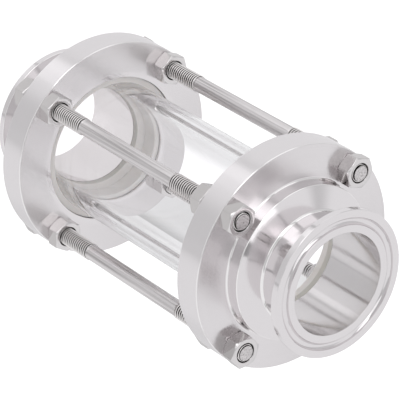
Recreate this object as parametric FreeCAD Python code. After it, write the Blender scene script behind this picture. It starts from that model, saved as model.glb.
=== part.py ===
import FreeCAD, Part
import math
import os

from FreeCAD import Rotation, Vector

# Inline sight glass with hygienic clamp ends, all sizes in millimetres.
# A clear glass tube is held between two turned stainless end caps by four tie rods.
# It stands on its lower clamp face: the pipe axis is Z, and z = 0 is that face.

# Pipe run
overall_length = 152.0      # face to face of the two clamp ferrules
bore_dia = 35.0             # product bore through both end caps
pipe_wall = 1.55            # wall of the plain neck behind each ferrule

# Clamp ferrule on each end cap
ferrule_lip = 6.2           # how far the ferrule stands out past the neck
ferrule_rim = 2.3           # straight width of its outer edge
ferrule_bevel_deg = 20.0    # slope of its back, which the clamp pulls on
ferrule_root = 1.0          # fillet where the bevel runs into the neck
groove_round = 1.3          # half-round groove in the face for the joint gasket

# Neck, dome and boss of the end cap
neck_length = 14.2          # clamp face to the foot of the neck
neck_root = 1.2             # fillet between neck and dome
dome_rise = 3.2             # slope that falls from the neck to the boss
boss_height = 4.85          # boss above the flange
boss_foot = 0.8             # polished fillet where the boss meets the flange
boss_nut_gap = 1.2          # room left between the boss and a nut's corner

# Flange of the end cap
flange_thickness = 10.1
flange_margin = 5.0         # from the rod circle out to the flange rim
counterbore_land = 4.45     # metal between the glass recess and a rod hole
edge_break = 0.45           # bright chamfer on the flange, boss and ferrule edges

# Glass tube and its seat in each end cap
glass_step = 1.25           # the glass bore is this much wider than the pipe bore
glass_wall = 5.0
glass_gap = 2.25            # ring gap between the glass and the recess wall
glass_seat = 6.75           # how deep each end of the glass sits in its recess
glass_arris = 0.5           # ground chamfer on the rims of the glass

# Gasket round each end of the glass: a flat ring under the rim, with a collar round the outside
gasket_thickness = 2.2      # of the flat ring
gasket_gap = 0.2            # radial play of the gasket in the recess
gasket_inset = 0.1          # the gasket bore clears the pipe bore by this much
collar_gap = 0.1            # radial, between the collar and the glass
collar_sunk = 0.8           # how far below the flange face the collar ends

# Tie rods, threaded at both ends
rod_count = 4
rod_first_deg = 45.0        # the first rod's place, counted from +X
thread_dia = 6.0
thread_length = 35.0
shank_dia = 5.3             # plain middle of the rod
rod_end_bevel = 0.4
rod_proud = 0.3             # how far a rod stands out of its outer nut
hole_clearance = 0.3        # radial, between a rod and its flange hole

# Hexagon nuts, one on each face of both flanges
nut_flats = 10.0
nut_height = 5.0
nut_bevel_deg = 30.0        # chamfer that rounds the nut's corners
nut_mouth = 0.25            # countersink of the threaded hole
nut_clearance = 0.05        # radial, between the nut and the rod's thread
nut_turns_deg = {           # where each nut's corner came to rest, from straight outwards
    "top_outer": (22.0, 10.0, -5.0, 0.0),
    "top_inner": (12.0, 26.0, 4.0, 18.0),
    "bottom_inner": (-18.0, 8.0, -8.0, 14.0),
    "bottom_outer": (5.0, 17.0, 24.0, 11.0),
}

# Radii, from the pipe outwards
bore_r = bore_dia / 2
neck_r = bore_r + pipe_wall
ferrule_r = neck_r + ferrule_lip
groove_r = (bore_r + ferrule_r) / 2
glass_inner_r = bore_r + glass_step
glass_outer_r = glass_inner_r + glass_wall
recess_r = glass_outer_r + glass_gap
thread_r = thread_dia / 2
hole_r = thread_r + hole_clearance
rod_circle_r = recess_r + counterbore_land + hole_r
flange_r = rod_circle_r + flange_margin
nut_corner_r = nut_flats / 2 / math.cos(math.pi / 6)
boss_r = rod_circle_r - nut_corner_r - boss_nut_gap

# Heights on the lower end cap, from its clamp face up
bevel_end = ferrule_rim + ferrule_lip * math.tan(math.radians(ferrule_bevel_deg))
dome_foot = neck_length + dome_rise
flange_outer = dome_foot + boss_height
flange_inner = flange_outer + flange_thickness
recess_floor = flange_inner - glass_seat - gasket_thickness
glass_end = recess_floor + gasket_thickness
rod_end = flange_outer - nut_height - rod_proud


def sharp(radius, height):
    return radius, height, 0.0, "sharp"


def bevelled(radius, height, size):
    return radius, height, size, "bevel"


def filleted(radius, height, size):
    return radius, height, size, "fillet"


def corner_cut(before, corner, after):
    """The two ends of a bevel or fillet at one corner of a profile, and the fillet's middle."""
    point = Vector(corner[0], 0, corner[1])
    to_before = (Vector(before[0], 0, before[1]) - point).normalize()
    to_after = (Vector(after[0], 0, after[1]) - point).normalize()
    if corner[3] == "sharp":
        return point, None, point
    if corner[3] == "bevel":
        return point + to_before * corner[2], None, point + to_after * corner[2]
    half_angle = to_before.getAngle(to_after) / 2
    reach = corner[2] / math.tan(half_angle)
    towards_centre = (to_before + to_after).normalize()
    middle = point + towards_centre * (corner[2] / math.sin(half_angle) - corner[2])
    return point + to_before * reach, middle, point + to_after * reach


def turned(corners):
    """A solid turned about Z from a closed half-section of (radius, height) corners."""
    cuts = []
    for index, corner in enumerate(corners):
        before = corners[index - 1]
        after = corners[(index + 1) % len(corners)]
        cuts.append(corner_cut(before, corner, after))
    edges = []
    for index, (start, middle, end) in enumerate(cuts):
        if middle is not None:
            edges.append(Part.Arc(start, middle, end).toShape())
        elif start != end:
            edges.append(Part.makeLine(start, end))
        edges.append(Part.makeLine(end, cuts[(index + 1) % len(cuts)][0]))
    face = Part.Face(Part.Wire(edges))
    return face.revolve(Vector(0, 0, 0), Vector(0, 0, 1), 360)


def upper_end(shape):
    """The same piece turned end over end, for the upper half of the sight glass."""
    flipped = shape.copy()
    flipped.rotate(Vector(0, 0, overall_length / 2), Vector(1, 0, 0), 180)
    return flipped


def rod_angle(index):
    return rod_first_deg + index * 360.0 / rod_count


def at_rod(shape, index, height, turn_deg=0.0):
    """The shape moved from the Z axis out to one rod, and turned on itself."""
    angle = math.radians(rod_angle(index))
    place = Vector(rod_circle_r * math.cos(angle), rod_circle_r * math.sin(angle), height)
    moved = shape.copy()
    moved.Placement = FreeCAD.Placement(place, Rotation(Vector(0, 0, 1), rod_angle(index) + turn_deg))
    return moved


def end_cap():
    """Ferrule, neck, domed boss and flange, turned from one bar, in the lower cap's place."""
    cap = turned([
        bevelled(bore_r, 0, edge_break / 2),
        bevelled(ferrule_r, 0, edge_break / 2),
        bevelled(ferrule_r, ferrule_rim, edge_break / 2),
        filleted(neck_r, bevel_end, ferrule_root),
        filleted(neck_r, neck_length, neck_root),
        bevelled(boss_r, dome_foot, edge_break),
        filleted(boss_r, flange_outer, boss_foot),
        bevelled(flange_r, flange_outer, edge_break),
        bevelled(flange_r, flange_inner, edge_break),
        bevelled(recess_r, flange_inner, edge_break / 2),
        sharp(recess_r, recess_floor),
        sharp(bore_r, recess_floor),
    ])
    groove = Part.makeTorus(groove_r, groove_round)
    cap = cap.cut(groove)
    hole = Part.makeCylinder(hole_r, flange_thickness)
    for index in range(rod_count):
        cap = cap.cut(at_rod(hole, index, flange_outer))
    return cap


def glass_tube():
    """Straight tube between the two gaskets, with ground rims."""
    top = overall_length - glass_end
    return turned([
        bevelled(glass_inner_r, glass_end, glass_arris),
        bevelled(glass_outer_r, glass_end, glass_arris),
        bevelled(glass_outer_r, top, glass_arris),
        bevelled(glass_inner_r, top, glass_arris),
    ])


def gasket():
    """Flat ring under the lower end of the glass, and a collar that fills the gap round it."""
    inner_r = bore_r + gasket_inset
    outer_r = recess_r - gasket_gap
    collar_r = glass_outer_r + collar_gap
    collar_end = flange_inner - collar_sunk
    return turned([
        sharp(inner_r, recess_floor),
        sharp(outer_r, recess_floor),
        sharp(outer_r, collar_end),
        sharp(collar_r, collar_end),
        sharp(collar_r, glass_end),
        sharp(inner_r, glass_end),
    ])


def tie_rod():
    """Plain shank between two threaded ends, on the Z axis. The thread's crests are the wall."""
    top = overall_length - rod_end
    step = thread_r - shank_dia / 2
    return turned([
        sharp(0, rod_end),
        bevelled(thread_r, rod_end, rod_end_bevel),
        sharp(thread_r, rod_end + thread_length - step),
        sharp(thread_r - step, rod_end + thread_length),
        sharp(thread_r - step, top - thread_length),
        sharp(thread_r, top - thread_length + step),
        bevelled(thread_r, top, rod_end_bevel),
        sharp(0, top),
    ])


def hex_nut():
    """Hexagon nut standing on z = 0, a corner towards +X, chamfered on both faces."""
    corners = []
    for index in range(7):
        angle = math.radians(60 * index)
        corners.append(Vector(nut_corner_r * math.cos(angle), nut_corner_r * math.sin(angle), 0))
    prism = Part.Face(Part.makePolygon(corners)).extrude(Vector(0, 0, nut_height))
    face_r = nut_flats / 2
    slope = (nut_corner_r - face_r) * math.tan(math.radians(nut_bevel_deg))
    nut_bore_r = thread_r + nut_clearance
    envelope = turned([
        bevelled(nut_bore_r, 0, nut_mouth),
        sharp(face_r, 0),
        sharp(nut_corner_r, slope),
        sharp(nut_corner_r, nut_height - slope),
        sharp(face_r, nut_height),
        bevelled(nut_bore_r, nut_height, nut_mouth),
    ])
    return prism.common(envelope)


def build():
    """Every piece by its node name."""
    cap = end_cap()
    seal = gasket()
    rod = tie_rod()
    nut = hex_nut()
    pieces = {
        "end_cap_bottom": cap,
        "end_cap_top": upper_end(cap),
        "glass_tube": glass_tube(),
        "gasket_bottom": seal,
        "gasket_top": upper_end(seal),
    }
    nut_heights = {
        "bottom_outer": flange_outer - nut_height,
        "bottom_inner": flange_inner,
        "top_inner": overall_length - flange_inner - nut_height,
        "top_outer": overall_length - flange_outer,
    }
    for index in range(rod_count):
        pieces["tie_rod_%d" % (index + 1)] = at_rod(rod, index, 0)
        for place, height in nut_heights.items():
            turn = nut_turns_deg[place][index % len(nut_turns_deg[place])]
            pieces["nut_%s_%d" % (place, index + 1)] = at_rod(nut, index, height, turn)
    return pieces


os.makedirs("parts", exist_ok=True)
for name, shape in build().items():
    solid = shape.Solids[0] if len(shape.Solids) == 1 else shape
    solid.exportStep("parts/%s.step" % name)
    print(name, "solids", len(shape.Solids), "valid", shape.isValid(), "volume", round(shape.Volume, 1))
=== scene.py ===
import math
from functools import partial

import bmesh
import bpy
from mathutils import Euler, Matrix, Vector


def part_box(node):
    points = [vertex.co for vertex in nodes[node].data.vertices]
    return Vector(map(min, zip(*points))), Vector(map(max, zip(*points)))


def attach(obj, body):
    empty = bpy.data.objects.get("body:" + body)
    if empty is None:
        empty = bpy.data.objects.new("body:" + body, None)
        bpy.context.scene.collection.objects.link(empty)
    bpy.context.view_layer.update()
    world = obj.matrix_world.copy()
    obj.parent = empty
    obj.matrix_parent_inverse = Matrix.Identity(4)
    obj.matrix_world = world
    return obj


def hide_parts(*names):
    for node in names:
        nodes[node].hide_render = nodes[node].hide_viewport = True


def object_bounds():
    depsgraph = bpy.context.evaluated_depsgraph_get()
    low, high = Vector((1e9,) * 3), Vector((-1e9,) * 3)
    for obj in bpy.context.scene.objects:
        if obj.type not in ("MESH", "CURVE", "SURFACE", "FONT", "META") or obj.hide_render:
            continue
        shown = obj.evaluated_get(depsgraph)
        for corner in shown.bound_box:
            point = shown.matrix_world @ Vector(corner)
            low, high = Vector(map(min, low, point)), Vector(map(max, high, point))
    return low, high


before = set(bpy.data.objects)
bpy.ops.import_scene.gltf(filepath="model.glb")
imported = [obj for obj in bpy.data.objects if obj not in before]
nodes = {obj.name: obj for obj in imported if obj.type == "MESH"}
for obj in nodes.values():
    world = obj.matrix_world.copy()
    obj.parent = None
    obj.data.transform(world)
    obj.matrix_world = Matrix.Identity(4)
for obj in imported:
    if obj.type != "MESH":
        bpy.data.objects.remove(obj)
cad_low, cad_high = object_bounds()

# Camera. A long lens at the photograph's viewing angle, rolled so that the standing sight glass
# lies across the picture with its near ferrule at the lower right.
camera_aim = Vector((-0.00019, -0.000204, 0.08105))
camera_distance = 0.88605
camera_turn_deg = 47.05
camera_rise_deg = 44.55
camera_roll_deg = 121.12
camera_lens_mm = 241.17
camera_sensor_mm = 36.0
camera_near = 0.05
camera_far = 20.0

camera_data = bpy.data.cameras.new("camera")
camera_data.lens = camera_lens_mm
camera_data.sensor_width = camera_sensor_mm
camera_data.clip_start = camera_near
camera_data.clip_end = camera_far
camera = bpy.data.objects.new("camera", camera_data)
bpy.context.scene.collection.objects.link(camera)
look = Euler((math.radians(90.0 - camera_rise_deg), 0.0, math.radians(camera_turn_deg))).to_matrix()
roll = Euler((0.0, 0.0, math.radians(camera_roll_deg))).to_matrix()
camera.rotation_euler = (look @ roll).to_euler()
camera.location = camera_aim + look @ Vector((0.0, 0.0, camera_distance))
bpy.context.scene.camera = camera

# Floor. A plain white studio table, bright enough to run out to pure white around the object.
# Polished steel would mirror its flat edge, so reflections show the light tent in its place.
floor_half = 3.0
floor_grey = 0.25
floor_white = (1.0, 1.0, 1.0, 1.0)
floor_glow = 0.95


def new_material(name):
    """A material with its node tree and its shader."""
    material = bpy.data.materials.new(name)
    material.use_nodes = True
    tree = material.node_tree
    return material, tree, tree.nodes["Principled BSDF"]


def glowing_paint(name, grey, glow_colour, glow):
    """Matt paint that also shines by itself."""
    paint, _, shader = new_material(name)
    shader.inputs["Base Color"].default_value = (grey, grey, grey, 1.0)
    shader.inputs["Roughness"].default_value = 1.0
    shader.inputs["Specular IOR Level"].default_value = 0.0
    shader.inputs["Emission Color"].default_value = glow_colour
    shader.inputs["Emission Strength"].default_value = glow
    return paint


def table_sheet(name, corners, paint):
    """A flat sheet at table height that faces up, from its corners in order."""
    mesh = bpy.data.meshes.new(name)
    mesh.from_pydata([(x, y, cad_low.z) for x, y in corners], [], [tuple(range(len(corners)))])
    mesh.materials.append(paint)
    sheet = bpy.data.objects.new(name, mesh)
    bpy.context.scene.collection.objects.link(sheet)
    return sheet


floor_corners = [(x * floor_half, y * floor_half) for x, y in ((-1, -1), (1, -1), (1, 1), (-1, 1))]
floor_paint = glowing_paint("floor_white", floor_grey, floor_white, floor_glow)
floor = table_sheet("floor", floor_corners, floor_paint)
floor.visible_glossy = False
floor.visible_transmission = False

# White cards. Two lie flat under the open lower end: the bright one is what the eye sees through
# the bore, and the softer one is what the bore wall mirrors.
card_r = 0.0235
card_points = 32
card_grey = 0.1
card_white = (1.0, 0.985, 1.0, 1.0)
bright_card_glow = 1.1
soft_card_glow = 0.85

card_corners = []
for point in range(card_points):
    angle = 2 * math.pi * point / card_points
    card_corners.append((card_r * math.cos(angle), card_r * math.sin(angle)))
for card_name, glow, seen_through in (
    ("bright_card", bright_card_glow, True),
    ("soft_card", soft_card_glow, False),
):
    card_paint = glowing_paint(card_name, card_grey, card_white, glow)
    card = table_sheet(card_name, card_corners, card_paint)
    card.visible_camera = False
    card.visible_diffuse = False
    card.visible_transmission = seen_through
    card.visible_glossy = not seen_through

# Light tent. White cloth all round, with the panels, seams, backdrop and camera's opening that
# polished steel and clear glass need to show their shape. Each is a patch of sky.
tent_colour = (1.0, 0.998, 1.011)
tent_base = 0.86
# azimuth and elevation of the middle, half width, half height, soft edge, change of brightness
tent_patches = {
    "camera_opening": (317.0, 44.0, 14.0, 12.0, 10.0, -0.12),
    "bright_panel": (284.0, 30.0, 11.0, 38.0, 3.0, 0.60),
    "seam_left": (265.0, 34.0, 1.5, 34.0, 1.5, -0.36),
    "front_cloth": (330.0, 42.0, 29.0, 28.0, 5.0, -0.30),
    "front_bright": (310.0, 58.5, 30.0, 9.0, 1.5, 0.80),
    "front_level": (307.0, 0.0, 6.0, 9.0, 4.0, -0.18),
    "seam_right": (4.0, 42.0, 1.5, 30.0, 1.5, -0.32),
    "seam_right_level": (358.0, 2.0, 1.5, 9.0, 1.5, -0.36),
    "gap_right": (66.0, 13.0, 3.0, 8.0, 3.0, -0.40),
    "left_cloth": (206.0, 20.0, 20.0, 26.0, 8.0, -0.23),
    "left_level": (247.0, 4.0, 13.0, 9.0, 4.0, 0.28),
    "back_upper": (137.0, 68.0, 14.0, 10.0, 8.0, -0.35),
    "back_lower": (137.0, 16.0, 14.0, 10.0, 8.0, -0.30),
    "top_panel": (210.0, 82.5, 80.0, 8.5, 2.0, 0.50),
    "top_middle": (30.0, 90.0, 95.0, 3.5, 1.5, 0.50),
    "top_seam": (60.0, 81.0, 40.0, 3.0, 1.5, -0.55),
    "low_back": (137.0, -44.5, 9.0, 9.0, 9.0, 0.30),
    "backdrop": (128.0, -44.8, 8.2, 6.0, 0.8, -0.40),
    "low_panel": (277.0, -33.5, 6.0, 8.0, 1.5, 0.30),
    "low_bright": (274.0, -61.5, 16.0, 9.0, 1.5, 0.50),
    "low_seam_left": (263.0, -40.0, 1.6, 34.0, 1.5, -0.28),
    "low_front": (338.0, -50.0, 12.0, 20.0, 26.0, -0.20),
    "low_seam_right": (3.0, -40.0, 1.4, 34.0, 1.5, -0.20),
    "low_right": (96.0, -40.0, 14.0, 34.0, 10.0, -0.09),
}


def feed(tree, socket, value):
    """Links another node's output to the socket, or types a plain value in."""
    if isinstance(value, bpy.types.NodeSocket):
        tree.links.new(value, socket)
    else:
        socket.default_value = value


def linked(tree, kind, **inputs):
    """A new node with its inputs typed in or linked by name."""
    node = tree.nodes.new(kind)
    for name, value in inputs.items():
        feed(tree, node.inputs[name.replace("_", " ")], value)
    return node


def worked(tree, operation, *values):
    """The result of one math node."""
    node = tree.nodes.new("ShaderNodeMath")
    node.operation = operation
    for socket, value in zip(node.inputs, values):
        feed(tree, socket, value)
    return node.outputs[0]


def ramp(tree, value, start, end, low=0.0, high=1.0, soft=False):
    """Goes from low at start to high at end, and stays level beyond them."""
    node = linked(tree, "ShaderNodeMapRange", Value=value, From_Min=start, From_Max=end)
    node.inputs["To Min"].default_value = low
    node.inputs["To Max"].default_value = high
    if soft:
        node.interpolation_type = "SMOOTHSTEP"
    return node.outputs["Result"]


def within(tree, offset, half_deg, soft_deg):
    """1 as far as half_deg to either side, then softly down to 0 over soft_deg."""
    away = worked(tree, "ABSOLUTE", offset)
    return ramp(tree, away, math.radians(half_deg + soft_deg), math.radians(half_deg), soft=True)


tent = bpy.data.worlds.new("light_tent")
tent.use_nodes = True
bpy.context.scene.world = tent
sky = tent.node_tree
sky.nodes.clear()
sky_math = partial(worked, sky)
sky_direction = sky.nodes.new("ShaderNodeTexCoord").outputs["Generated"]
sky_axes = linked(sky, "ShaderNodeSeparateXYZ", Vector=sky_direction).outputs
azimuth = sky_math("ARCTAN2", sky_axes["Y"], sky_axes["X"])
elevation = sky_math("ARCSINE", sky_axes["Z"])
brightness = tent_base
for middle, height, half_width, half_height, soft_edge, change in tent_patches.values():
    turned_by = sky_math("SUBTRACT", azimuth, math.radians(middle))
    across = within(sky, sky_math("WRAP", turned_by, math.pi, -math.pi), half_width, soft_edge)
    raised_by = sky_math("SUBTRACT", elevation, math.radians(height))
    upward = within(sky, raised_by, half_height, soft_edge)
    brightness = sky_math("MULTIPLY_ADD", sky_math("MULTIPLY", across, upward), change, brightness)
sky_light = linked(sky, "ShaderNodeBackground", Color=(*tent_colour, 1.0), Strength=brightness)
linked(sky, "ShaderNodeOutputWorld", Surface=sky_light.outputs["Background"])

# Plain colours, so that the white cloth stays white in the picture
bpy.context.scene.view_settings.view_transform = "Standard"

# End caps. Each is one piece of stainless steel, turned and polished: clamp ferrule, neck, domed
# boss and flange, with a recess for the glass and four drilled holes for the tie rods.
cap_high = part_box("end_cap_bottom")[1]
overall = cad_high.z
flange_r = cap_high.x
flange_inner = cap_high.z
flange_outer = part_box("nut_bottom_outer_1")[1].z
recess_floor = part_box("gasket_bottom")[0].z
bore_r = 0.0175
neck_r = 0.01905
ferrule_r = 0.02525
ferrule_rim = 0.0023
bevel_slope = math.tan(math.radians(20.0))
groove_r = (bore_r + ferrule_r) / 2
groove_depth = 0.0013
groove_steps = 16
neck_foot = 0.0142
dome_foot = 0.0174
boss_r = 0.02678
boss_foot_fillet = 0.0008
neck_fillet = 0.0012
ferrule_fillet = 0.001
recess_r = 0.026
edge_break = 0.00045
fine_break = 0.00012
rod_count = 4
rod_first_deg = 45.0
rod_circle_r = 0.03375
rod_hole_r = 0.0033
rod_hole_steps = 48
cap_steps = 240
sharp_edge_deg = 30.0
large_face_weight = 100

# Its finish: polished inside the foot of the boss and satin outside it, with fine turning rings, a painted
# highlight on the slopes of edges and fillets, and the wall of the bore duller and painted darker as painted
# shade
cap_colour = (0.82, 0.795, 0.803, 1.0)
# painted shade for the wall of the bore
bore_shade_colour = (0.76, 0.737, 0.74, 1.0)
edge_highlight_colour = (0.95, 0.935, 0.93, 1.0)
polished_roughness = 0.08
satin_roughness = 0.21
bore_roughness = 0.15
cloud_roughness = 0.03
ring_roughness_low = 0.85
ring_roughness_high = 1.15
ring_stretch = 0.85
quarter_turn = 0.25
ring_scale = 2600.0
ring_detail = 3.0
ring_breakup = 0.6
ring_strength = 0.12
ring_depth = 0.00004
cloud_scale = 55.0
cloud_detail = 2.0
noise_low = 0.3             # nearly all of a noise pattern lies between these two
noise_high = 0.7
bore_wall_end_r = bore_r + 0.00003
bore_blend_end_r = bore_r + 0.00008
satin_from_r = boss_r + boss_foot_fillet
satin_full_r = satin_from_r + 0.0004
wall_tilt = 0.15            # tilts run from 0, facing sideways, to 1, facing along the pipe axis
edge_tilt_low = 0.3
edge_tilt_high = 0.82
face_tilt = 0.90


def rounded(corners):
    """The outline with each (radius, height, cut, pieces) corner cut straight or rounded.

    A corner with one piece is bevelled by the cut along both sides, and one with more is an arc
    of that radius. Without a cut it stays sharp.
    """
    outline = []
    for place, (radius, height, cut, pieces) in enumerate(corners):
        corner = Vector((radius, height))
        before = (Vector(corners[place - 1][:2]) - corner).normalized()
        after = (Vector(corners[(place + 1) % len(corners)][:2]) - corner).normalized()
        if pieces == 0:
            outline.append(corner)
        elif pieces == 1:
            outline += [corner + before * cut, corner + after * cut]
        else:
            half_angle = before.angle(after) / 2
            centre = corner + (before + after).normalized() * (cut / math.sin(half_angle))
            start = corner + before * (cut / math.tan(half_angle)) - centre
            sweep = start.angle_signed(corner + after * (cut / math.tan(half_angle)) - centre)
            for step in range(pieces + 1):
                outline.append(centre + Matrix.Rotation(-sweep * step / pieces, 2) @ start)
    return outline


def turned(name, outline, steps, upside_down=False):
    """A closed ring turned about the pipe axis from an outline that runs with the piece on its left.

    Its place is in its mesh, and upside down it is the same piece at the other end.
    """
    verts = []
    for step in range(steps):
        angle = 2 * math.pi * step / steps
        for point in outline:
            verts.append((point.x * math.cos(angle), point.x * math.sin(angle), point.y))
    if upside_down:
        verts = [(x, -y, overall - z) for x, y, z in verts]
    faces = []
    count = len(outline)
    for step in range(steps):
        here = step * count
        there = (step + 1) % steps * count
        for place in range(count):
            following = (place + 1) % count
            faces.append((here + place, there + place, there + following, here + following))
    mesh = bpy.data.meshes.new(name)
    mesh.from_pydata(verts, [], faces)
    mesh.validate()
    piece = bpy.data.objects.new(name, mesh)
    bpy.context.scene.collection.objects.link(piece)
    return piece


def apply_modifiers(piece):
    """The piece's modifiers made part of its mesh."""
    evaluated = piece.evaluated_get(bpy.context.evaluated_depsgraph_get())
    finished = bpy.data.meshes.new_from_object(evaluated)
    piece.modifiers.clear()
    piece.data = finished


def soften(piece):
    """Smooth shading with the true edges kept sharp, and the large faces kept true to their form."""
    piece.data.shade_smooth()
    piece.data.set_sharp_from_angle(angle=math.radians(sharp_edge_deg))
    weighted = piece.modifiers.new("true_faces", "WEIGHTED_NORMAL")
    weighted.mode = "FACE_AREA"
    weighted.weight = large_face_weight
    weighted.keep_sharp = True
    apply_modifiers(piece)


def vector_worked(tree, operation, *vectors):
    """The result of one vector math node."""
    node = tree.nodes.new("ShaderNodeVectorMath")
    node.operation = operation
    for socket, vector in zip(node.inputs, vectors):
        feed(tree, socket, vector)
    return node.outputs["Value" if operation == "LENGTH" else "Vector"]


def mixed(tree, share, first, second):
    """The first colour, blended into the second as the share goes from 0 to 1."""
    node = tree.nodes.new("ShaderNodeMix")
    node.data_type = "RGBA"
    for socket_name, value in (("Factor", share), ("A", first), ("B", second)):
        feed(tree, node.inputs[socket_name], value)
    return node.outputs["Result"]


def noise(tree, place, scale, detail, breakup=0.5):
    """An irregular pattern from 0 to 1, with finer noise laid over the coarse."""
    node = linked(tree, "ShaderNodeTexNoise", Vector=place, Scale=scale, Detail=detail, Roughness=breakup)
    return node.outputs["Fac"]


def engrave(tree, shader, pattern, strength, depth):
    """Fine relief on the surface, as the pattern rises and falls."""
    relief = linked(tree, "ShaderNodeBump", Height=pattern, Strength=strength, Distance=depth)
    tree.links.new(relief.outputs["Normal"], shader.inputs["Normal"])


def object_place(tree):
    """Where a point of the surface is."""
    return tree.nodes.new("ShaderNodeTexCoord").outputs["Object"]


def from_pipe_axis(tree, place):
    """How far a point is from the pipe axis."""
    return vector_worked(tree, "LENGTH", vector_worked(tree, "MULTIPLY", place, (1.0, 1.0, 0.0)))


def from_mid_length(tree, place):
    """How far a point is from half-way up the pipe axis."""
    height = linked(tree, "ShaderNodeSeparateXYZ", Vector=place).outputs["Z"]
    return worked(tree, "ABSOLUTE", worked(tree, "SUBTRACT", height, overall / 2))


def lengthwise_tilt(tree):
    """1 where the surface faces along the pipe axis, and 0 where it faces sideways."""
    normal = tree.nodes.new("ShaderNodeNewGeometry").outputs["Normal"]
    return worked(tree, "ABSOLUTE", linked(tree, "ShaderNodeSeparateXYZ", Vector=normal).outputs["Z"])


def highlight_slopes(tree, place):
    """Where the painted highlight goes: 1 on the slopes of edges and fillets, and 0 on flat faces, straight
    walls and in the groove.
    """
    tilt = lengthwise_tilt(tree)
    off_wall = ramp(tree, tilt, wall_tilt, edge_tilt_low)
    off_face = ramp(tree, tilt, face_tilt, edge_tilt_high)
    off_groove = worked(tree, "LESS_THAN", from_mid_length(tree, place), overall / 2 - groove_depth)
    return worked(tree, "MULTIPLY", worked(tree, "MULTIPLY", off_wall, off_face), off_groove)


cap_steel, cap_tree, cap_shader = new_material("end_cap_turned_steel")
cap_math = partial(worked, cap_tree)
cap_place = object_place(cap_tree)
cap_reach = from_pipe_axis(cap_tree, cap_place)
cap_height = linked(cap_tree, "ShaderNodeSeparateXYZ", Vector=cap_place).outputs["Z"]
cap_section = linked(cap_tree, "ShaderNodeCombineXYZ", X=cap_reach, Z=cap_height).outputs[0]
around_axis = vector_worked(cap_tree, "CROSS_PRODUCT", (0.0, 0.0, 1.0), cap_place)
ring_noise = noise(cap_tree, cap_section, ring_scale, ring_detail, ring_breakup)
cloud_noise = noise(cap_tree, cap_place, cloud_scale, cloud_detail)
past_bore = ramp(cap_tree, cap_reach, bore_wall_end_r, bore_blend_end_r)
# Painted shade: the wall of the bore is painted darker than the rest of the cap
cap_tint = mixed(cap_tree, past_bore, bore_shade_colour, cap_colour)
# Painted highlight: the slopes of edges and fillets are painted paler than the rest of the cap
cap_tint = mixed(cap_tree, highlight_slopes(cap_tree, cap_place), cap_tint, edge_highlight_colour)
cap_dull = ramp(cap_tree, cap_reach, satin_from_r, satin_full_r, polished_roughness, satin_roughness)
in_bore = cap_math("SUBTRACT", 1.0, past_bore)
cap_dull = cap_math("MULTIPLY_ADD", in_bore, bore_roughness - polished_roughness, cap_dull)
ring_dull = ramp(cap_tree, ring_noise, noise_low, noise_high, ring_roughness_low, ring_roughness_high)
cap_dull = cap_math("MULTIPLY", cap_dull, ring_dull)
cap_dull = cap_math("MULTIPLY_ADD", cloud_noise, cloud_roughness, cap_dull)
cap_shader.inputs["Metallic"].default_value = 1.0
cap_shader.inputs["Anisotropic"].default_value = ring_stretch
cap_shader.inputs["Anisotropic Rotation"].default_value = quarter_turn
feed(cap_tree, cap_shader.inputs["Tangent"], vector_worked(cap_tree, "NORMALIZE", around_axis))
feed(cap_tree, cap_shader.inputs["Base Color"], cap_tint)
feed(cap_tree, cap_shader.inputs["Roughness"], cap_dull)
engrave(cap_tree, cap_shader, ring_noise, ring_strength, ring_depth)

groove_corners = []
for step in range(groove_steps + 1):
    angle = math.pi * step / groove_steps
    groove_corners.append((groove_r - groove_depth * math.cos(angle), groove_depth * math.sin(angle), 0.0, 0))
cap_outline = rounded([
    (bore_r, 0.0, fine_break, 3),
    *groove_corners,
    (ferrule_r, 0.0, edge_break / 2, 4),
    (ferrule_r, ferrule_rim, edge_break / 2, 4),
    (neck_r, ferrule_rim + (ferrule_r - neck_r) * bevel_slope, ferrule_fillet, 8),
    (neck_r, neck_foot, neck_fillet, 8),
    (boss_r, dome_foot, edge_break, 3),
    (boss_r, flange_outer, boss_foot_fillet, 8),
    (flange_r, flange_outer, edge_break, 3),
    (flange_r, flange_inner, edge_break, 3),
    (recess_r, flange_inner, edge_break / 2, 2),
    (recess_r, recess_floor, 0.0, 0),
    (bore_r, recess_floor, 0.0, 0),
])

rod_drill = bmesh.new()
for rod in range(rod_count):
    angle = math.radians(rod_first_deg + 360.0 / rod_count * rod)
    drill_middle = (rod_circle_r * math.cos(angle), rod_circle_r * math.sin(angle), overall / 2)
    bmesh.ops.create_cone(
        rod_drill,
        cap_ends=True,
        segments=rod_hole_steps,
        radius1=rod_hole_r,
        radius2=rod_hole_r,
        depth=overall,
        matrix=Matrix.Translation(drill_middle),
    )
drill_mesh = bpy.data.meshes.new("rod_drill")
rod_drill.to_mesh(drill_mesh)
rod_drill.free()
drill = bpy.data.objects.new("rod_drill", drill_mesh)
bpy.context.scene.collection.objects.link(drill)

for cap_name, upside_down in (("end_cap_bottom", False), ("end_cap_top", True)):
    cap = turned(cap_name + "_steel", cap_outline, cap_steps, upside_down)
    holes = cap.modifiers.new("rod_holes", "BOOLEAN")
    holes.operation = "DIFFERENCE"
    holes.object = drill
    holes.solver = "EXACT"
    apply_modifiers(cap)
    soften(cap)
    cap.data.materials.clear()
    cap.data.materials.append(cap_steel)
    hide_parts(cap_name)
    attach(cap, "root")
bpy.data.objects.remove(drill)

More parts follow.
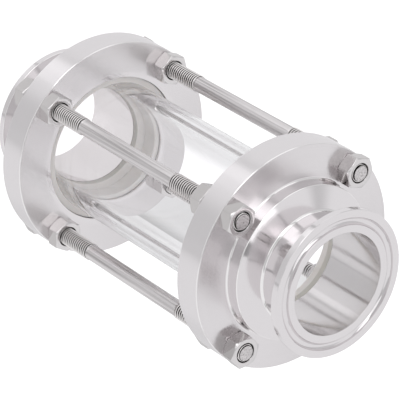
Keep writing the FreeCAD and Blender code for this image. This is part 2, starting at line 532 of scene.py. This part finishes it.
# Gaskets. Each is one moulded ring of whitish silicone rubber. Its flat part lies on the floor of the
# recess under the rim of the glass, and its collar fills the gap round the glass, pressed against both.
gasket_low, gasket_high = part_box("gasket_bottom")
glass_low, glass_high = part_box("glass_tube")
gasket_inner_r = 0.0176
gasket_press = 0.00002
gasket_outer_r = recess_r - gasket_press
gasket_collar_r = glass_high.x - gasket_press
gasket_lip = glass_low.z + gasket_press
gasket_edge = 0.00015
gasket_steps = 160
silicone_colour = (0.82, 0.795, 0.78, 1.0)
silicone_cloud_colour = (0.74, 0.715, 0.695, 1.0)
# painted shade for the inner edge of the ring, next to the steel
silicone_inner_shade_colour = (0.63, 0.61, 0.575, 1.0)
silicone_roughness = 0.45
silicone_glow_share = 0.5
silicone_glow_reach = (0.002, 0.0018, 0.0016)
silicone_cloud_scale = 400.0
silicone_cloud_detail = 4.0
silicone_grain_strength = 0.2
silicone_grain_depth = 0.00005

silicone, silicone_tree, silicone_shader = new_material("gasket_silicone")
silicone_place = object_place(silicone_tree)
silicone_cloud = noise(silicone_tree, silicone_place, silicone_cloud_scale, silicone_cloud_detail)
silicone_tint = mixed(silicone_tree, silicone_cloud, silicone_colour, silicone_cloud_colour)
silicone_reach = from_pipe_axis(silicone_tree, silicone_place)
# Painted shade: the inner edge of the ring is painted darker where it meets the steel
past_inner_shade = ramp(silicone_tree, silicone_reach, gasket_inner_r, gasket_inner_r + 2 * gasket_edge)
silicone_tint = mixed(silicone_tree, past_inner_shade, silicone_inner_shade_colour, silicone_tint)
silicone_shader.inputs["Roughness"].default_value = silicone_roughness
silicone_shader.inputs["Subsurface Weight"].default_value = silicone_glow_share
silicone_shader.inputs["Subsurface Radius"].default_value = silicone_glow_reach
feed(silicone_tree, silicone_shader.inputs["Base Color"], silicone_tint)
engrave(silicone_tree, silicone_shader, silicone_cloud, silicone_grain_strength, silicone_grain_depth)

gasket_outline = rounded([
    (gasket_inner_r, gasket_low.z, gasket_edge, 1),
    (gasket_outer_r, gasket_low.z, gasket_edge, 1),
    (gasket_outer_r, gasket_high.z, 2 * gasket_edge, 3),
    (gasket_collar_r, gasket_high.z, 2 * gasket_edge, 3),
    (gasket_collar_r, gasket_lip, 0.0, 0),
    (gasket_inner_r, gasket_lip, gasket_edge, 1),
])
for gasket_name, upside_down in (("gasket_bottom", False), ("gasket_top", True)):
    gasket = turned(gasket_name + "_silicone", gasket_outline, gasket_steps, upside_down)
    soften(gasket)
    gasket.data.materials.append(silicone)
    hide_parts(gasket_name)
    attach(gasket, "root")

# Glass tube. A length of clear borosilicate tube with ground rims. It stands in the recess of each
# end cap on the flat part of the gasket, inside its collar.
glass_outer_r = glass_high.x
glass_wall = 0.005
glass_inner_r = glass_outer_r - glass_wall
glass_arris = 0.0005
glass_steps = 256
glass_colour = (0.992, 0.99, 0.994, 1.0)
glass_bending = 1.47
glass_film_scale = 90.0
glass_film_detail = 3.0
glass_film_roughness = 0.02

clear_glass, glass_tree, glass_shader = new_material("clear_glass")
glass_film = noise(glass_tree, object_place(glass_tree), glass_film_scale, glass_film_detail)
glass_shader.inputs["Base Color"].default_value = glass_colour
glass_shader.inputs["Transmission Weight"].default_value = 1.0
glass_shader.inputs["IOR"].default_value = glass_bending
glass_dull = ramp(glass_tree, glass_film, 0.0, 1.0, 0.0, glass_film_roughness)
feed(glass_tree, glass_shader.inputs["Roughness"], glass_dull)

glass_outline = rounded([
    (glass_inner_r, glass_low.z, glass_arris, 1),
    (glass_outer_r, glass_low.z, glass_arris, 1),
    (glass_outer_r, glass_high.z, glass_arris, 1),
    (glass_inner_r, glass_high.z, glass_arris, 1),
])
glass = turned("glass_tube_clear", glass_outline, glass_steps)
soften(glass)
glass.data.materials.append(clear_glass)
glass.visible_shadow = False
glass.visible_diffuse = False
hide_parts("glass_tube")
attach(glass, "root")

# Tie rods. Four drawn stainless rods, plain in the middle, with a rolled M6 thread of 1 mm pitch at
# each end that runs out into the shank, and a small bevel on the end face.
rod_low, rod_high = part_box("tie_rod_1")
rod_half = (rod_high.z - rod_low.z) / 2
rod_offset = (rod_low.x + rod_high.x) / 2
thread_pitch = 0.001
thread_length = 0.035
thread_crest_r = 0.003
thread_root_r = 0.00242
shank_r = 0.00265
rod_bevel = 0.0004
rod_columns = 36
rod_turn_deg = 80.0         # each rod is screwed in this much further than the one before
rows_per_turn = 4           # of the thread: one row in its root, two on its crest, one in its root
crest_rows_middle = 1.5
crest_rows_reach = 0.6
end_rows = 2
end_margin = 0.000001
weld_distance = 0.000004
end_face_depth = 0.00002

rod_colour = (0.80, 0.775, 0.775, 1.0)
rod_streak_colour = (0.50, 0.48, 0.48, 1.0)
# Painted highlight on the thread crests and painted shade, near black, in the thread roots
thread_crest_highlight_colour = (0.93, 0.905, 0.895, 1.0)
thread_root_shade_colour = (0.04, 0.036, 0.034, 1.0)
thread_shade_r = 0.00274
thread_highlight_r = 0.00282
rod_roughness = 0.34
rod_line_scale = (1500.0, 1500.0, 22.0)
rod_line_depth = 0.00003
line_detail = 4.0
line_strength = 0.25
line_spread = 0.25
streak_dark = 0.35
streak_bright = 0.58


def sized_tree(name, **sizes):
    """A geometry tree with a named input for the place, turn, material and each size of a piece."""
    tree = bpy.data.node_groups.new(name, "GeometryNodeTree")
    tree.interface.new_socket(name="Place", in_out="INPUT", socket_type="NodeSocketVector")
    tree.interface.new_socket(name="Turn", in_out="INPUT", socket_type="NodeSocketFloat")
    tree.interface.new_socket(name="Material", in_out="INPUT", socket_type="NodeSocketMaterial")
    for size_name, value in sizes.items():
        plain_name = size_name.replace("_", " ")
        socket = tree.interface.new_socket(name=plain_name, in_out="INPUT", socket_type="NodeSocketFloat")
        socket.default_value = value
    tree.interface.new_socket(name="Geometry", in_out="OUTPUT", socket_type="NodeSocketGeometry")
    return tree, tree.nodes.new("NodeGroupInput").outputs


def folded_grid(tree, columns, rows):
    """A grid to wrap into a turned shape: its mesh, each point's angle, and each point's row."""
    sheet = linked(
        tree,
        "GeometryNodeMeshGrid",
        Size_X=1.0,
        Size_Y=1.0,
        Vertices_X=columns + 1,
        Vertices_Y=worked(tree, "ADD", rows, 1.0),
    )
    position = tree.nodes.new("GeometryNodeInputPosition").outputs[0]
    spot = linked(tree, "ShaderNodeSeparateXYZ", Vector=position).outputs
    angle = worked(tree, "MULTIPLY_ADD", spot["X"], 2 * math.pi, math.pi)
    row = worked(tree, "ROUND", worked(tree, "MULTIPLY", worked(tree, "ADD", spot["Y"], 0.5), rows))
    return sheet.outputs["Mesh"], angle, row


def welded(tree, geometry):
    """The geometry with points that lie on each other made one."""
    weld = linked(tree, "GeometryNodeMergeByDistance", Geometry=geometry, Distance=weld_distance)
    return weld.outputs[0]


def wrapped(tree, mesh, angle, radius, height):
    """The grid wrapped round the Z axis at each point's radius and height, and closed."""
    x = worked(tree, "MULTIPLY", radius, worked(tree, "COSINE", angle))
    y = worked(tree, "MULTIPLY", radius, worked(tree, "SINE", angle))
    spot = linked(tree, "ShaderNodeCombineXYZ", X=x, Y=y, Z=height).outputs[0]
    return welded(tree, linked(tree, "GeometryNodeSetPosition", Geometry=mesh, Position=spot).outputs[0])


def chosen(tree, share, old, new):
    """The old value, moved to the new one as the share goes from 0 to 1."""
    return worked(tree, "MULTIPLY_ADD", share, worked(tree, "SUBTRACT", new, old), old)


def finish_tree(tree, size, geometry):
    """Puts the piece in its place, makes it real geometry and gives it its material."""
    spin = linked(tree, "ShaderNodeCombineXYZ", Z=size["Turn"]).outputs[0]
    placed = linked(
        tree, "GeometryNodeTransform", Geometry=geometry, Translation=size["Place"], Rotation=spin
    )
    real = linked(tree, "GeometryNodeRealizeInstances", Geometry=placed.outputs[0])
    painted = linked(
        tree, "GeometryNodeSetMaterial", Geometry=real.outputs[0], Material=size["Material"]
    )
    linked(tree, "NodeGroupOutput", Geometry=painted.outputs[0])


def grown(name, tree, **sizes):
    """A piece grown by a geometry tree, as a plain mesh. Sizes not given stay as in the tree."""
    piece = bpy.data.objects.new(name, bpy.data.meshes.new(name))
    bpy.context.scene.collection.objects.link(piece)
    growth = piece.modifiers.new(name, "NODES")
    growth.node_group = tree
    for socket in tree.interface.items_tree:
        size_name = socket.name.replace(" ", "_")
        if socket.in_out == "INPUT" and size_name in sizes:
            growth[socket.identifier] = sizes[size_name]
    apply_modifiers(piece)
    return piece


rod_tree, rod_size = sized_tree(
    "threaded_rod",
    Lower_End=rod_low.z,
    Middle=overall / 2,
    Thread_Length=thread_length,
    Pitch=thread_pitch,
    Crest_Radius=thread_crest_r,
    Root_Radius=thread_root_r,
    Shank_Radius=shank_r,
    End_Bevel=rod_bevel,
)
rod_math = partial(worked, rod_tree)
rod_choice = partial(chosen, rod_tree)

# The rows of the grid run from the end face, with its middle as row 0 and its rim as row 1, up the
# thread to the middle of the rod
turns = rod_math("DIVIDE", rod_size["Thread Length"], rod_size["Pitch"])
thread_rows = rod_math("MULTIPLY", rod_math("ADD", turns, 2.0), rows_per_turn)
rod_rows = rod_math("ADD", thread_rows, end_rows + 1)
rod_sheet, rod_angle, rod_row = folded_grid(rod_tree, rod_columns, rod_rows)
thread_row = rod_math("SUBTRACT", rod_row, end_rows)
is_pole = rod_math("LESS_THAN", rod_row, 0.5)
is_rim = rod_math("COMPARE", rod_row, 1.0, 0.1)
is_end = rod_math("ADD", is_pole, is_rim)
is_middle = rod_math("GREATER_THAN", rod_row, rod_math("SUBTRACT", rod_rows, 0.5))

# Each row climbs a helix, which is cut off level at the end face and at the shank
climb = rod_math("MULTIPLY_ADD", rod_angle, 1 / (2 * math.pi), -1.0)
helix_turns = rod_math("MULTIPLY_ADD", thread_row, 1 / rows_per_turn, climb)
helix_height = rod_math("MULTIPLY_ADD", helix_turns, rod_size["Pitch"], rod_size["Lower End"])
thread_stop = rod_math("ADD", rod_size["Lower End"], rod_size["Thread Length"])
above_face = rod_math("MAXIMUM", helix_height, rod_size["Lower End"])
thread_height = rod_math("MINIMUM", above_face, thread_stop)

# Root and crest, which run out into the shank over the last turn and under the bevel at the end
step_in_turn = rod_math("FLOORED_MODULO", thread_row, rows_per_turn)
on_crest = rod_math("COMPARE", step_in_turn, crest_rows_middle, crest_rows_reach)
profile_r = rod_choice(on_crest, rod_size["Root Radius"], rod_size["Crest Radius"])
run_out_start = rod_math("SUBTRACT", thread_stop, rod_size["Pitch"])
run_out = rod_math("DIVIDE", rod_math("SUBTRACT", thread_height, run_out_start), rod_size["Pitch"])
fade = rod_math("MINIMUM", rod_math("MAXIMUM", run_out, 0.0), 1.0)
faded_r = rod_choice(fade, profile_r, rod_size["Shank Radius"])
rim_r = rod_math("SUBTRACT", rod_size["Crest Radius"], rod_size["End Bevel"])
above_end = rod_math("SUBTRACT", thread_height, rod_size["Lower End"])
bevelled_r = rod_math("MINIMUM", faded_r, rod_math("ADD", rim_r, above_end))
thread_r = rod_choice(rod_math("LESS_THAN", above_end, end_margin), bevelled_r, rim_r)

# The end face below the thread, the shank above it, and the other half as this one end over end
point_r = rod_choice(is_rim, thread_r, rim_r)
point_r = rod_choice(is_middle, point_r, rod_size["Shank Radius"])
point_r = rod_math("MULTIPLY", point_r, rod_math("SUBTRACT", 1.0, is_pole))
point_z = rod_choice(is_end, thread_height, rod_size["Lower End"])
point_z = rod_choice(is_middle, point_z, rod_size["Middle"])
half_rod = wrapped(rod_tree, rod_sheet, rod_angle, point_r, point_z)
lift = linked(rod_tree, "ShaderNodeCombineXYZ", Z=rod_math("MULTIPLY", rod_size["Middle"], 2.0))
other_half = linked(
    rod_tree,
    "GeometryNodeTransform",
    Geometry=half_rod,
    Translation=lift.outputs[0],
    Rotation=(math.pi, 0.0, 0.0),
)
both_halves = rod_tree.nodes.new("GeometryNodeJoinGeometry")
rod_tree.links.new(half_rod, both_halves.inputs[0])
rod_tree.links.new(other_half.outputs[0], both_halves.inputs[0])
finish_tree(rod_tree, rod_size, welded(rod_tree, both_halves.outputs[0]))


def drawn_steel(name, roughness, line_scale, line_depth):
    """Bright stainless steel with fine marks in the surface, and the pattern of those marks."""
    material, tree, shader = new_material(name)
    stretched = linked(tree, "ShaderNodeMapping", Vector=object_place(tree), Scale=line_scale)
    pattern = noise(tree, stretched.outputs[0], 1.0, line_detail)
    smoothest = roughness * (1 - line_spread)
    roughest = roughness * (1 + line_spread)
    shader.inputs["Metallic"].default_value = 1.0
    feed(tree, shader.inputs["Roughness"], ramp(tree, pattern, noise_low, noise_high, smoothest, roughest))
    engrave(tree, shader, pattern, line_strength, line_depth)
    return material, tree, shader, pattern


def from_rod_axis(tree):
    """How far a point is from the axis of the nearest rod."""
    place = linked(tree, "ShaderNodeSeparateXYZ", Vector=object_place(tree)).outputs
    squares = []
    for side in ("X", "Y"):
        away = worked(tree, "SUBTRACT", worked(tree, "ABSOLUTE", place[side]), rod_offset)
        squares.append(worked(tree, "MULTIPLY", away, away))
    return worked(tree, "SQRT", worked(tree, "ADD", *squares))


rod_steel, steel_tree, steel_shader, draw_lines = drawn_steel(
    "tie_rod_drawn_steel", rod_roughness, rod_line_scale, rod_line_depth
)
streak = ramp(steel_tree, draw_lines, streak_dark, streak_bright)
shank_tint = mixed(steel_tree, streak, rod_streak_colour, rod_colour)
# Painted highlight on the thread crests and painted shade in the thread roots, by distance from the rod axis
crest = ramp(steel_tree, from_rod_axis(steel_tree), thread_shade_r, thread_highlight_r)
thread_tint = mixed(steel_tree, crest, thread_root_shade_colour, thread_crest_highlight_colour)
rod_from_middle = from_mid_length(steel_tree, object_place(steel_tree))
plain_shank = worked(steel_tree, "LESS_THAN", rod_from_middle, rod_half - thread_length + thread_pitch)
end_face = worked(steel_tree, "GREATER_THAN", rod_from_middle, rod_half - end_face_depth)
off_thread = worked(steel_tree, "ADD", plain_shank, end_face)
rod_tint = mixed(steel_tree, off_thread, thread_tint, shank_tint)
feed(steel_tree, steel_shader.inputs["Base Color"], rod_tint)

for rod in range(rod_count):
    rod_name = "tie_rod_%d" % (rod + 1)
    rod_foot, rod_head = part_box(rod_name)
    rod_axis = (rod_foot + rod_head) / 2
    rod_piece = grown(
        rod_name + "_threaded",
        rod_tree,
        Place=(rod_axis.x, rod_axis.y, 0.0),
        Turn=math.radians(rod_turn_deg * rod),
        Lower_End=rod_foot.z,
        Middle=rod_axis.z,
        Crest_Radius=rod_head.x - rod_axis.x,
        Material=rod_steel,
    )
    soften(rod_piece)
    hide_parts(rod_name)
    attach(rod_piece, "root")

# Nuts. Sixteen plain M6 hexagon nuts, one on each face of both flanges at every rod, with chamfered
# corners and a countersunk thread. Each stands at the angle where it was tightened.
nut_flats = 0.01
nut_height = 0.005
nut_face_r = 0.00482
nut_slope = math.tan(math.radians(30.0))
nut_bore_r = 0.00305
nut_mouth = 0.0005
nut_edge = 0.0003
nut_edge_pieces = 2
nut_edge_deg = 25.0
nut_columns = 72
nut_rows = 8
nut_face_colour = (0.77, 0.75, 0.75, 1.0)
# painted dark reflection on the six sides
nut_side_dark_reflection_colour = (0.60, 0.58, 0.575, 1.0)
nut_side_tilt = 0.3
nut_face_tilt = 0.8
nut_thread_shade_r = nut_bore_r + nut_mouth * 0.6
nut_roughness = 0.14
nut_grain_scale = (900.0, 900.0, 900.0)
nut_grain_depth = 0.00002

nut_tree, nut_size = sized_tree(
    "hexagon_nut",
    Flats=nut_flats,
    Height=nut_height,
    Face_Radius=nut_face_r,
    Bore_Radius=nut_bore_r,
    Mouth=nut_mouth,
)
nut_math = partial(worked, nut_tree)
nut_sheet, nut_angle, nut_row = folded_grid(nut_tree, nut_columns, nut_rows)
from_flat = nut_math("SUBTRACT", nut_math("FLOORED_MODULO", nut_angle, math.pi / 3), math.pi / 6)
half_flats = nut_math("MULTIPLY", nut_size["Flats"], 0.5)
hexagon_r = nut_math("DIVIDE", half_flats, nut_math("COSINE", from_flat))
past_face = nut_math("SUBTRACT", hexagon_r, nut_size["Face Radius"])
chamfer_z = nut_math("MULTIPLY", past_face, nut_slope)
upper_chamfer_z = nut_math("SUBTRACT", nut_size["Height"], chamfer_z)
mouth_r = nut_math("ADD", nut_size["Bore Radius"], nut_size["Mouth"])
upper_mouth_z = nut_math("SUBTRACT", nut_size["Height"], nut_size["Mouth"])
nut_outline = [
    (mouth_r, 0.0),
    (nut_size["Face Radius"], 0.0),
    (hexagon_r, chamfer_z),
    (hexagon_r, upper_chamfer_z),
    (nut_size["Face Radius"], nut_size["Height"]),
    (mouth_r, nut_size["Height"]),
    (nut_size["Bore Radius"], upper_mouth_z),
    (nut_size["Bore Radius"], nut_size["Mouth"]),
    (mouth_r, 0.0),
]
picks = []
for coordinate in (0, 1):
    pick = nut_tree.nodes.new("GeometryNodeIndexSwitch")
    pick.data_type = "FLOAT"
    while len(pick.index_switch_items) < len(nut_outline):
        pick.index_switch_items.new()
    nut_tree.links.new(nut_row, pick.inputs["Index"])
    for row, point in enumerate(nut_outline):
        feed(nut_tree, pick.inputs[row + 1], point[coordinate])
    picks.append(pick.outputs[0])
finish_tree(nut_tree, nut_size, wrapped(nut_tree, nut_sheet, nut_angle, *picks))

# Bright steel, with the six sides painted darker than the end faces as a painted dark reflection, and painted
# shade in the thread
nut_steel, nut_paint, nut_shader, _ = drawn_steel(
    "hexagon_nut_bright_steel", nut_roughness, nut_grain_scale, nut_grain_depth
)
# Painted dark reflection: the six sides are painted darker than the end faces
end_on = ramp(nut_paint, lengthwise_tilt(nut_paint), nut_side_tilt, nut_face_tilt)
nut_tint = mixed(nut_paint, end_on, nut_side_dark_reflection_colour, nut_face_colour)
# Painted shade: the thread and the mouth of the bore are painted near black
past_thread = ramp(nut_paint, from_rod_axis(nut_paint), nut_thread_shade_r, nut_bore_r + nut_mouth)
nut_tint = mixed(nut_paint, past_thread, thread_root_shade_colour, nut_tint)
feed(nut_paint, nut_shader.inputs["Base Color"], nut_tint)

for place in ("bottom_outer", "bottom_inner", "top_inner", "top_outer"):
    for rod in range(rod_count):
        nut_name = "nut_%s_%d" % (place, rod + 1)
        nut_low, nut_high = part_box(nut_name)
        nut_middle = (nut_low + nut_high) / 2
        corner = max(
            (vertex.co.xy - nut_middle.xy for vertex in nodes[nut_name].data.vertices),
            key=lambda reach: reach.length,
        )
        nut = grown(
            nut_name + "_hexagon",
            nut_tree,
            Place=(nut_middle.x, nut_middle.y, nut_low.z),
            Turn=math.atan2(corner.y, corner.x),
            Height=nut_high.z - nut_low.z,
            Material=nut_steel,
        )
        worn_edge = nut.modifiers.new("worn_edge", "BEVEL")
        worn_edge.width = nut_edge
        worn_edge.segments = nut_edge_pieces
        worn_edge.angle_limit = math.radians(nut_edge_deg)
        apply_modifiers(nut)
        soften(nut)
        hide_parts(nut_name)
        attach(nut, "root")

bpy.context.view_layer.update()
